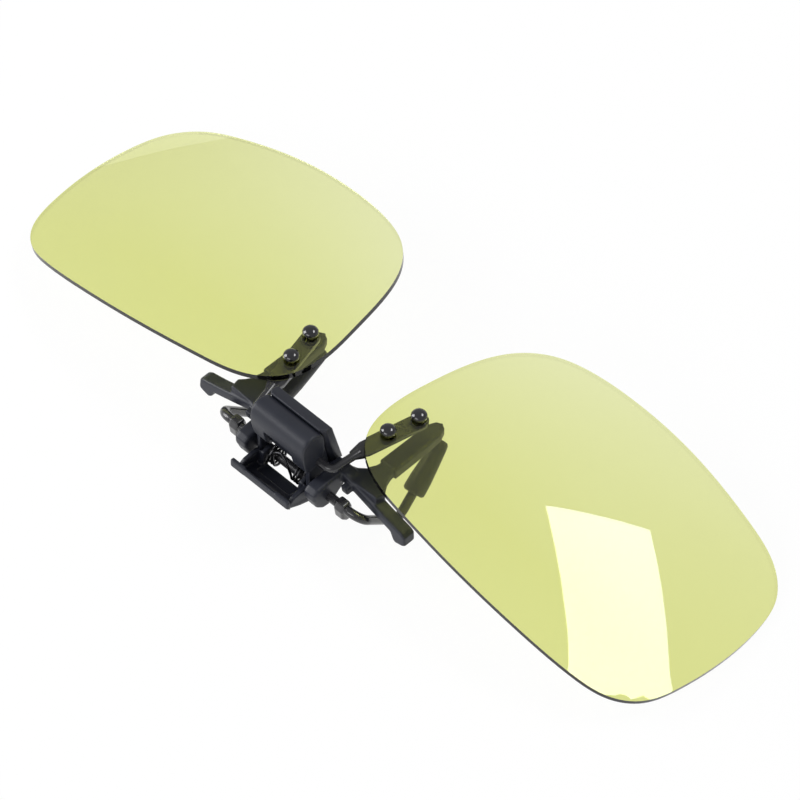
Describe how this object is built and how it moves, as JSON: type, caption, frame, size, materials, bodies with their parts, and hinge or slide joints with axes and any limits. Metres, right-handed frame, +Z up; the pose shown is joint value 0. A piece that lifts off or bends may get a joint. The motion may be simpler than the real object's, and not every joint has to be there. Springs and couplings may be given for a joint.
{
  "type": "clip-on flip lenses",
  "caption": "Flip-up clip-on lenses: tinted rimless lenses on a hinged wire, with a sprung jaw that grips a pair of spectacles.",
  "frame": {"origin": "middle of the bounding box, on the table that the clip lies on, lens fronts up", "axes": "+X to the wearer's right across both lenses, +Y towards the bottom of the lenses, +Z up, out of the lens fronts"},
  "size_m": [0.1328, 0.0506, 0.0199],
  "materials": {
    "lens": "clear yellow-green tint, polished",
    "black_plastic": "fine matt moulding",
    "black_wire": "gloss black plating",
    "rivet_black": "gloss",
    "black_rubber": "satin",
    "spring_steel": "dark drawn wire"
  },
  "bodies": {
    "frame": {"spring_housing": "black_plastic", "detent_cover": "black_plastic", "detent_strip": "spring_steel", "front_frame": "black_plastic", "front_sleeve_left": "black_rubber", "front_sleeve_right": "black_rubber", "clamp_spring": "spring_steel"},
    "lenses": {"lens_left": "lens", "lens_right": "lens", "flip_wire": "black_wire", "lens_rivets": "rivet_black", "detent_cam": "black_wire"},
    "rear_jaw": {"rear_wire": "black_wire", "rear_sleeve_left": "black_rubber", "rear_sleeve_right": "black_rubber", "finger_lever": "black_plastic", "wire_collars": "black_wire"}
  },
  "joints": [
    {"name": "lens_flip", "type": "hinge", "parent": "frame", "child": "lenses", "pos_m": [0, -0.01827, 0.01371], "axis": [1, 0, 0], "range_deg": [0, 90]},
    {"name": "jaw_squeeze", "type": "hinge", "parent": "frame", "child": "rear_jaw", "pos_m": [0, -0.01885, 0.00842], "axis": [-1, 0, 0], "range_deg": [0, 20], "stiffness_Nm_per_rad": 0.02, "springref_deg": -28.65}
  ]
}
